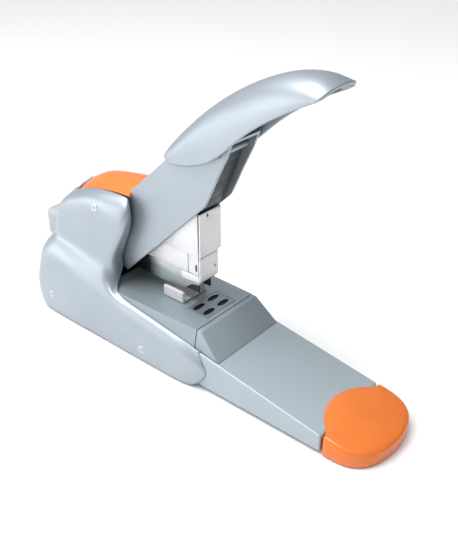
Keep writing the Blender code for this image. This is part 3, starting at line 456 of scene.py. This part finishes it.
# %% [markdown]
# The ledge rail is both the top of the whole fairing and the foot of the cheek. The lower
# rails are bridged along their full length, and the upper ones only as far as the cheek's
# front edge. At the back, a notch is left open for the loader's grip and rod. The right half is
# the same loft mirrored.

# %% Both housing halves
NOTCH_LOW = 43.0
NOTCH_HIGH = 73.0
NOTCH_REACH = -118.0
COVER_WALL = 2.3
CHEEK_EDGES = len(rail_points(len(RAILS) - 1)) - 1


def housing_half(name, side):
    """One moulded half: side is -1 for the left and +1 for the right."""
    shape = bmesh.new()
    rails = [chain(shape, rail_points(row))[1] for row in range(len(RAILS))]
    for row, (low, high) in enumerate(zip(rails, rails[1:])):
        if row >= LEDGE_ROW:
            low, high = low[:CHEEK_EDGES], high[:CHEEK_EDGES]
        bmesh.ops.bridge_loops(shape, edges=low + high)
    notch = []
    for face in shape.faces:
        middle = face.calc_center_median() / MM
        if (middle.x < NOTCH_REACH and middle.y > -NOTCH_HALF_WIDTH
                and NOTCH_LOW < middle.z < NOTCH_HIGH):
            notch.append(face)
    bmesh.ops.delete(shape, geom=notch, context="FACES")
    if side > 0:
        bmesh.ops.scale(shape, vec=(1, -1, 1), verts=shape.verts)
    piece = finished(name + "_cover", shape, silver, "base", name, 0)
    soften(piece, 3, COVER_WALL)
    return piece


housing_left = housing_half("housing_left", -1)
housing_right = housing_half("housing_right", 1)

# %% [markdown]
# ## The housing's screws
# Three screws on each side hold the two halves together. Their heads could be put in place by
# hand, but the cover curves everywhere. So a head's outline is spun about its axis, as it is
# turned in a lathe, and a ray aimed at the cover finds where it sits and which way it faces.

# %% The housing screws
# (distance from the axis, height over the cover), from the hollow for the driver to the shank
SCREW_OUTLINE = [(0.0, -0.45), (1.0, -0.45), (1.3, 0.25), (2.2, 0.40), (2.75, 0.25), (3.0, -0.1),
                 (3.0, -1.6)]
SCREW_STEPS = 24
OUTSIDE = 60
SCREW_PLACES = {"upper": (-71, 98), "rear": (-116.5, 17.0), "front": (-23, 10.8)}
graph = bpy.context.evaluated_depsgraph_get()
for hand, side, cover in (("left", -1, housing_left), ("right", 1, housing_right)):
    skin = cover.evaluated_get(graph)
    for place, (x, z) in SCREW_PLACES.items():
        start = Vector((x, side * OUTSIDE, z)) * MM
        _, seat, normal, _ = skin.ray_cast(start, Vector((0, -side, 0)))
        shape = bmesh.new()
        outline, edges = chain(shape, [Vector((r, 0, h)) * MM for r, h in SCREW_OUTLINE])
        bmesh.ops.spin(shape, geom=outline + edges, cent=(0, 0, 0), axis=(0, 0, 1),
                       angle=math.tau, steps=SCREW_STEPS, use_merge=True)
        bmesh.ops.remove_doubles(shape, verts=shape.verts, dist=0.01 * MM)
        turn = normal.to_track_quat("Z", "Y").to_matrix().to_4x4()
        bmesh.ops.transform(shape, matrix=Matrix.Translation(seat) @ turn, verts=shape.verts)
        finished(f"housing_screw_head_{place}_{hand}", shape, screw_steel, "base",
                 f"housing_screw_{place}_{hand}", 40)

# %% [markdown]
# ## The nose cap
# The orange cap is a shallow cup of plastic that hooks over the deck's front end. Its plan is
# a rounded nose in front and a round tongue behind with a hollow flare on each side. A straight
# extrusion of that plan would look cut from board. Rings of the plan are drawn at changing
# heights and bridged instead, which domes the top and rolls the rim over.

# %% The nose cap
NOSE_PLAN = [
    (106.5, 0), (107.3, -7), (109.6, -14), (113.2, -20.0), (117.2, -24.6), (119.4, -28.4),
    (120.3, -31.4), (123.0, -32.0), (131.5, -31.6), (139.0, -29.4), (145.0, -24.6),
    (148.8, -17.6), (151.0, -9), (151.8, 0),
]
NOSE_MIDDLE = 130
LINE_STEPS = 4
TONGUE_GAP = 0.4
HOOK_GAP = 0.35


def nose_ring(share, height):
    """The plan drawn in towards its middle, with a height worked out for each x."""
    half = smooth_line([(x, y, 0) for x, y in NOSE_PLAN], LINE_STEPS)
    whole = half + [Vector((p.x, -p.y, 0)) for p in reversed(half[1:-1])]
    ring = []
    for point in whole:
        x = NOSE_MIDDLE + (point.x - NOSE_MIDDLE) * share
        ring.append(Vector((x, point.y * share, height(x))) * MM)
    return ring


def over_deck(lift):
    """A height that follows the deck's slope."""
    return lambda x: deck_top(x) + lift


def down_to(foot):
    """A height that is down at a foot in front of the deck, and just over the deck behind that."""
    return lambda x: deck_top(x) + TONGUE_GAP if x < DECK_FRONT + HOOK_GAP else foot


# (share of the plan, height over the deck) for the dome, then (share, foot) for the skirt
NOSE_DOME = [(0.10, 2.9), (0.35, 2.75), (0.60, 2.4), (0.80, 1.95), (0.92, 1.45), (0.970, 0.95),
             (0.993, 0.1)]
NOSE_SKIRT = [(1.0, 9.0), (1.0, 4.0), (1.0, 1.4), (0.985, 0.8), (0.93, 0.8), (0.93, 8.0)]
shape = bmesh.new()
rings = [nose_ring(share, over_deck(lift)) for share, lift in NOSE_DOME]
rings += [nose_ring(share, down_to(foot)) for share, foot in NOSE_SKIRT]
rings = [chain(shape, ring, closed=True)[1] for ring in rings]
for low, high in zip(rings, rings[1:]):
    bmesh.ops.bridge_loops(shape, edges=low + high)
bmesh.ops.contextual_create(shape, geom=rings[0])
bmesh.ops.contextual_create(shape, geom=rings[-1])
finished("nose_cap_cover", shape, orange, "base", "nose_cap", 50)

# %% [markdown]
# ## The housing's orange cap
# Between the two silver halves lies an orange saddle. It is arched along the housing and
# crowned across it, which no extrusion or spin gives, so nine long rails side by side are
# lofted and given a wall.

# %% The housing cap
CAP_LINE = [(-49.0, 109.2), (-60, 108.8), (-73, 107.2), (-85, 104.8), (-93, 101.8), (-99.0, 98.4),
            (-103.5, 95.0)]
CAP_FULLNESS = [(-103.5, 0.45), (-99, 0.7), (-94, 0.84), (-88, 0.9)]
CAP_RAILS = [(15.6, -0.4), (14.4, 1.5), (10.6, 4.4), (5.6, 6.6), (0.0, 7.4)]
CAP_WALL = 2.4


def cap_rail(y, rise):
    """One long rail of the cap, raised over the cap's side line and let down again at the rear."""
    line = smooth_line([(x, 0, z) for x, z in CAP_LINE], LINE_STEPS)
    return [Vector((p.x, y, p.z + rise * height_at(CAP_FULLNESS, p.x))) * MM for p in line]


shape = bmesh.new()
rails = [chain(shape, cap_rail(-y, rise))[1] for y, rise in CAP_RAILS]
rails += [chain(shape, cap_rail(y, rise))[1] for y, rise in reversed(CAP_RAILS[:-1])]
for here, there in zip(rails, rails[1:]):
    bmesh.ops.bridge_loops(shape, edges=here + there)
cap = finished("housing_cap_cover", shape, orange, "base", "housing_cap", 0)
soften(cap, 1, CAP_WALL)

# %% [markdown]
# ## The handle
# The handle is a long arched shell over the end of the arm, like a shoe horn: a squarish
# channel at the back that opens and rounds off towards the tip. A bent tube would have the
# same section all along. So it is drawn as arches across the handle, each squarer or rounder,
# and the arches are bridged from back to front.

# %% The handle shell
# crown x, z; lower edge x, z; half-width; squareness
HANDLE_ARCHES = [
    (-18.4, 146.2, -12.6, 142.6, 15.2, 3.6),
    (-15.4, 151.2, -9.8, 142.4, 15.8, 3.6),
    (-5.0, 162.6, -2.6, 143.0, 16.1, 3.4),
    (10.0, 176.9, 8.4, 145.2, 16.4, 3.2),
    (25.0, 188.4, 21.4, 150.8, 16.9, 3.0),
    (40.0, 197.7, 33.4, 160.6, 17.5, 2.8),
    (55.0, 205.0, 46.1, 173.4, 18.2, 2.6),
    (70.0, 210.0, 59.5, 183.2, 18.6, 2.5),
    (84.0, 211.4, 75.0, 193.0, 18.4, 2.4),
    (92.0, 210.0, 84.0, 197.2, 17.9, 2.3),
    (97.0, 208.0, 91.2, 201.2, 17.2, 2.3),
]
ARCH_STEPS = 16
HANDLE_WALL = 2.0


def arch(crown_x, crown_z, foot_x, foot_z, half, power):
    """Places across the handle from its near lower edge over the crown to the far one."""
    line = []
    for step in range(ARCH_STEPS + 1):
        angle = math.pi * step / ARCH_STEPS
        aside = -math.cos(angle)
        side = math.copysign(abs(aside) ** (2 / power), aside)
        rise = math.sin(angle) ** (2 / power)
        x = foot_x + (crown_x - foot_x) * rise
        z = foot_z + (crown_z - foot_z) * rise
        line.append(Vector((x, half * side, z)) * MM)
    return line


shape = bmesh.new()
arches = [chain(shape, arch(*station))[1] for station in HANDLE_ARCHES]
for here, there in zip(arches, arches[1:]):
    bmesh.ops.bridge_loops(shape, edges=here + there)
handle = finished("handle_cover", shape, silver, "arm", "handle_shell", 0)
soften(handle, 3, HANDLE_WALL)

# %% [markdown]
# ## The anvil block
# The block that carries the anvil is folded sheet with crisp but not sharp edges. Its rear part
# stays as it is in the engineering model. The front part could be drawn corner by corner, but a
# cube is a simpler start: its eight corners are moved to the block's own corners, and every
# edge is bevelled by less than a millimetre.

# %% The block's front cover
BLOCK_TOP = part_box("anvil_block")[1].z / MM
BLOCK_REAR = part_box("anvil_front_cover")[0].x / MM
BLOCK_FRONT_LOW = 40.0
BLOCK_FRONT_HIGH = 23.7
BLOCK_HALF_LOW = 30.5
BLOCK_HALF_HIGH = 27.8
BLOCK_GAP = 0.3
BLOCK_EDGE = 0.7


def block_corner(x_side, y_side, z_side):
    """Where a corner of the block goes, from the signs of the cube's corner."""
    high = z_side > 0
    x = BLOCK_REAR if x_side < 0 else (BLOCK_FRONT_HIGH if high else BLOCK_FRONT_LOW)
    y = y_side * (BLOCK_HALF_HIGH if high else BLOCK_HALF_LOW)
    z = BLOCK_TOP if high else deck_top(x) + BLOCK_GAP
    return Vector((x, y, z)) * MM


shape = bmesh.new()
bmesh.ops.create_cube(shape, size=2)
for vert in shape.verts:
    vert.co = block_corner(*(round(c) for c in vert.co))
bmesh.ops.bevel(shape, geom=shape.edges[:], offset=BLOCK_EDGE * MM, segments=3, profile=0.5,
                affect="EDGES", material=-1)
finished("anvil_front_plate", shape, block_silver_painted_shade, "base", "anvil_front_cover", 50)

# %% [markdown]
# ## The stapling head
# The head is two nested channels of bright plated sheet: a frame fixed to the magazine, and a
# carrier that slides down over it with the driver blade. A solid block would hide the seams and
# holes of the real sheet metal. So each wall is drawn as a flat sheet and then given its
# thickness. A sheet with a hole is bridged from its outline to the hole's edge.

# %% Sheets with a hole
HOLE_STEPS = 20
HOLE_TURN = 0.01
NO_LENGTH = 1e-9
BROKEN_EDGE = 0.12


def outline_point(low, high, centre, angle):
    """Where a line from the centre at an angle meets the rectangle from low to high."""
    run, rise = math.cos(angle), math.sin(angle)
    reach = []
    if abs(run) > NO_LENGTH:
        reach.append(((high[0] if run > 0 else low[0]) - centre[0]) / run)
    if abs(rise) > NO_LENGTH:
        reach.append(((high[1] if rise > 0 else low[1]) - centre[1]) / rise)
    return centre[0] + min(reach) * run, centre[1] + min(reach) * rise


def holed_sheet(shape, place, low, high, centre, radii):
    """A rectangle with an oval hole. The place function turns flat millimetres into a point."""
    corners = [math.atan2(v - centre[1], u - centre[0]) % math.tau
               for u in (low[0], high[0]) for v in (low[1], high[1])]
    steps = [math.tau * step / HOLE_STEPS + HOLE_TURN for step in range(HOLE_STEPS)]
    angles = sorted(corners + steps)
    edge = [place(*outline_point(low, high, centre, angle)) for angle in angles]
    hole = [place(centre[0] + radii[0] * math.cos(angle), centre[1] + radii[1] * math.sin(angle))
            for angle in angles]
    loops = chain(shape, edge, closed=True)[1] + chain(shape, hole, closed=True)[1]
    bmesh.ops.bridge_loops(shape, edges=loops)


def sheet(shape, points):
    """One flat face through the points."""
    shape.faces.new([shape.verts.new(Vector(point) * MM) for point in points])


def thicken(piece, wall):
    """Gives sheets a wall centred on them, with its edges slightly broken."""
    thick = piece.modifiers.new("wall", "SOLIDIFY")
    thick.thickness = wall * MM
    thick.offset = 0
    broken = piece.modifiers.new("broken_edges", "BEVEL")
    broken.width = BROKEN_EDGE * MM
    broken.segments = 2
    broken.limit_method = "ANGLE"


# %% The head frame
HEAD_SIDE = 8.4
HEAD_HALF_WIDTH = 8.7
HEAD_FRONT = 5.8
HEAD_LOW = 61.6
HEAD_SEAM = 79.0
HEAD_TOP = 88.3
CHEEK_LOW = 66.2
CHEEK = [(-46, CHEEK_LOW), (-46, 78), (-25, 97), (-22.9, HEAD_TOP), (-4.2, HEAD_TOP),
         (-4.2, CHEEK_LOW)]
FOOT = [(-10, 60.0), (-10, 65.8), (5.2, 65.8), (5.2, HEAD_LOW)]
BROW = [(-HEAD_HALF_WIDTH, HEAD_SEAM + 0.4), (HEAD_HALF_WIDTH, HEAD_SEAM + 0.4),
        (HEAD_HALF_WIDTH, HEAD_TOP), (-HEAD_HALF_WIDTH, HEAD_TOP)]
# each hole is its centre and its two radii
SIDE_SLOT = ((3.0, 71.5), (0.9, 3.2))
FRONT_HOLE = ((5.9, 69.0), (0.75, 0.95))


def along(y):
    """Places flat (x, z) millimetres on an upright plane that runs along the stapler."""
    return lambda x, z: Vector((x, y, z)) * MM


def across(x):
    """Places flat (y, z) millimetres on an upright plane across the stapler."""
    return lambda y, z: Vector((x, y, z)) * MM


shape = bmesh.new()
for y in (-HEAD_SIDE, HEAD_SIDE):
    sheet(shape, [(x, y, z) for x, z in CHEEK])
    holed_sheet(shape, along(y), (-3.6, CHEEK_LOW), (4.9, HEAD_TOP), *SIDE_SLOT)
    sheet(shape, [(x, y, z) for x, z in FOOT])
holed_sheet(shape, across(HEAD_FRONT), (-HEAD_HALF_WIDTH, HEAD_LOW), (HEAD_HALF_WIDTH, HEAD_SEAM),
            *FRONT_HOLE)
sheet(shape, [(HEAD_FRONT, y, z) for y, z in BROW])
head = finished("head_frame_plates", shape, chrome, "magazine", "head_frame", 30)
thicken(head, 1.1)

# %% The driver carrier
CARRIER_SIDE = 10.05
CARRIER_HALF_WIDTH = 10.0
CARRIER_FRONT = 7.45
CARRIER_LOW = 81.4
CARRIER_TOP = 111.5
CARRIER_WALL = [(-22, CARRIER_LOW), (-22, CARRIER_TOP), (6.3, CARRIER_TOP), (6.3, CARRIER_LOW)]
CARRIER_HOLE = ((-2.6, 109.0), (0.95, 1.2))
shape = bmesh.new()
for y in (-CARRIER_SIDE, CARRIER_SIDE):
    sheet(shape, [(x, y, z) for x, z in CARRIER_WALL])
holed_sheet(shape, across(CARRIER_FRONT), (-CARRIER_HALF_WIDTH, CARRIER_LOW),
            (CARRIER_HALF_WIDTH, CARRIER_TOP), *CARRIER_HOLE)
carrier = finished("driver_carrier_plates", shape, chrome, "driver", "driver_carrier",
                   30)
thicken(carrier, 1.0)

# %% [markdown]
# ## The drive link
# The dark link between the arm and the carrier is a narrow folded channel, wider at its upper
# pin. It could be one bent solid, but a channel folded from sheet is hollow behind, and that
# shows from below. Its web is sheets down the front and its two legs are sheets at the sides.

# %% The drive link
LINK_SIDE = 9.1
LINK_INSET = 0.6
LINK_FRONT = [(27.6, 160.2), (22.3, 146.5), (17.1, 133.2), (12.2, 121.8), (8.4, 113.9)]
LINK_BACK = [(5.2, 113.9), (3.2, 121.5), (6.4, 128.5), (14.6, 143.0), (22.0, 158.6), (24.6, 160.8)]
shape = bmesh.new()
for side in (-1, 1):
    sheet(shape, [(x, side * LINK_SIDE, z) for x, z in LINK_FRONT + LINK_BACK])
web = [(x - LINK_INSET, z) for x, z in LINK_FRONT]
for (x0, z0), (x1, z1) in zip(web, web[1:]):
    sheet(shape, [(x0, -LINK_SIDE, z0), (x0, LINK_SIDE, z0), (x1, LINK_SIDE, z1),
                  (x1, -LINK_SIDE, z1)])
link = finished("drive_link_channel", shape, dark_paint_and_shade_steel, "link", "drive_link", 30)
thicken(link, 0.9)

# %% [markdown]
# ## The magazine rail
# The rail that holds the staples is a long channel of zinc-plated sheet, open at the top. A box
# with its inside cut out would do, but two side sheets and a floor sheet are all it is. Its
# front end is cut away below, where the staples come out, and its rear is black with shade.

# %% The magazine rail
RAIL_SIDE = 7.0
RAIL_OUTLINE = [(-119, 50.4), (-119, 65), (4.2, 65), (4.2, 58.5), (-2.5, 57.0), (-11.0, 50.4)]
RAIL_FLOOR = [(-119, -6.6), (-11, -6.6), (-11, 6.6), (-119, 6.6)]
RAIL_FLOOR_Z = 50.5
shape = bmesh.new()
for side in (-1, 1):
    sheet(shape, [(x, side * RAIL_SIDE, z) for x, z in RAIL_OUTLINE])
sheet(shape, [(x, y, RAIL_FLOOR_Z) for x, y in RAIL_FLOOR])
rail = finished("magazine_rail_channel", shape, rail_with_painted_shade, "magazine", "magazine_rail",
                30)
thicken(rail, 0.9)

# %% [markdown]
# ## The anvil
# The anvil is a small hardened plate with two rows of pockets that turn the staple's legs. Ovals
# could be cut out of a solid plate. Here each quarter is a sheet with an oval hole, and a second
# sheet below closes the pockets, which keeps every face simple.

# %% The anvil plate
ANVIL_TOP = BLOCK_TOP - 0.15
POCKET_FLOOR = ANVIL_TOP - 0.9
POCKET_RADII = (2.1, 5.2)
ANVIL_ROWS = (-1.0, 7.0, 16.5)
ANVIL_COLUMNS = (-14.0, 0.0, 14.0)
shape = bmesh.new()
for rear, front in zip(ANVIL_ROWS, ANVIL_ROWS[1:]):
    for left, right in zip(ANVIL_COLUMNS, ANVIL_COLUMNS[1:]):
        middle = ((rear + front) / 2, (left + right) / 2)
        holed_sheet(shape, lambda x, y: Vector((x, y, ANVIL_TOP)) * MM,
                    (rear, left), (front, right), middle, POCKET_RADII)
        sheet(shape, [(x, y, POCKET_FLOOR) for x, y in
                      ((rear, left), (front, left), (front, right), (rear, right))])
# the pocket floors are painted black as shade by the anvil finish
anvil = finished("anvil_plate_pressed", shape, anvil_steel, "base", "anvil_plate", 30)
thicken(anvil, 0.4)

# %% [markdown]
# ## Finishes on the engineering pieces
# Many small pieces already have their true shape in the engineering model. Modelling them again
# would add nothing, so they keep that shape and only take a better finish.

# %% Paint the pieces that stay
KEPT = {
    deck_silver: ["base_shell"],
    block_silver_painted_shade: ["anvil_block"],
    silver: ["arm", "link_pin"],
    rail_steel: ["base_plate"],
    # hinge bracket and staple strip painted near-black as the shade under the arm
    shadow_steel: ["hinge_bracket", "staple_strip"],
    rubber: ["foot_front_left", "foot_front_right", "foot_rear_left", "foot_rear_right"],
    chrome: ["pivot_pin", "magazine_pin_left", "magazine_pin_right", "guide_rod"],
    # the driver block is painted near-black as the shade in the gaps behind the carrier plates
    dark_paint_and_shade_steel: ["handle_insert", "driver_block"],
    pale: ["magazine_guide", "pusher"],
    grip_grey: ["loader_grip"],
    spring_steel: ["return_spring", "pusher_spring", "driver_blade", "pivot_clip_left",
                   "pivot_clip_right"],
}
for end in ("front", "rear"):
    for side in ("left", "right"):
        KEPT[rail_steel].append(f"base_screw_{end}_{side}")
for look, names in KEPT.items():
    for name in names:
        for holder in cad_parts[name].material_slots:
            holder.material = look
print("pieces kept from the engineering model:", sum(len(names) for names in KEPT.values()))
